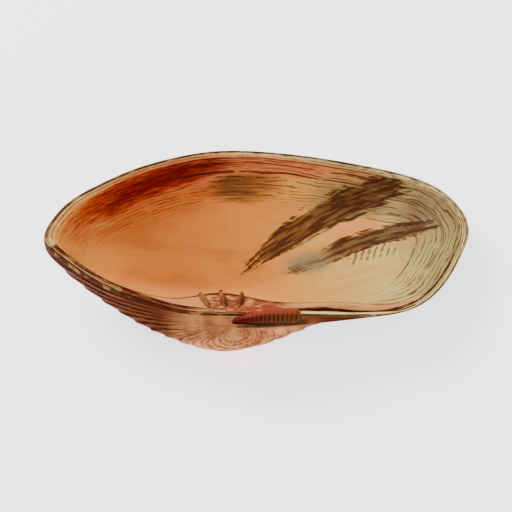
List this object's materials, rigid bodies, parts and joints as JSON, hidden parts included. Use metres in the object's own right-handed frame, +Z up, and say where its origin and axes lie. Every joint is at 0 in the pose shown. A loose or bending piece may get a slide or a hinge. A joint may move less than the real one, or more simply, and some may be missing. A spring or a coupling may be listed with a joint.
{
  "type": "bivalve shell",
  "caption": "One valve of an elongated clam shell lying hollow side up: ridged outer wall, flat rim, toothed hinge plate, curled beak and a cross-striped hinge ligament.",
  "frame": {"origin": "on the floor under the middle of the shell's box, which is centre bottom of the bounding box", "axes": "+X runs along the shell towards its longer, blunter end, the hinge and beak are on the -Y side, +Z is up, out of the hollow"},
  "size_m": [0.0894, 0.0562, 0.0181],
  "materials": {
    "shell": "satin",
    "ligament": "satin"
  },
  "bodies": {
    "root": {"valve": "shell", "ligament": "ligament"}
  },
  "joints": []
}
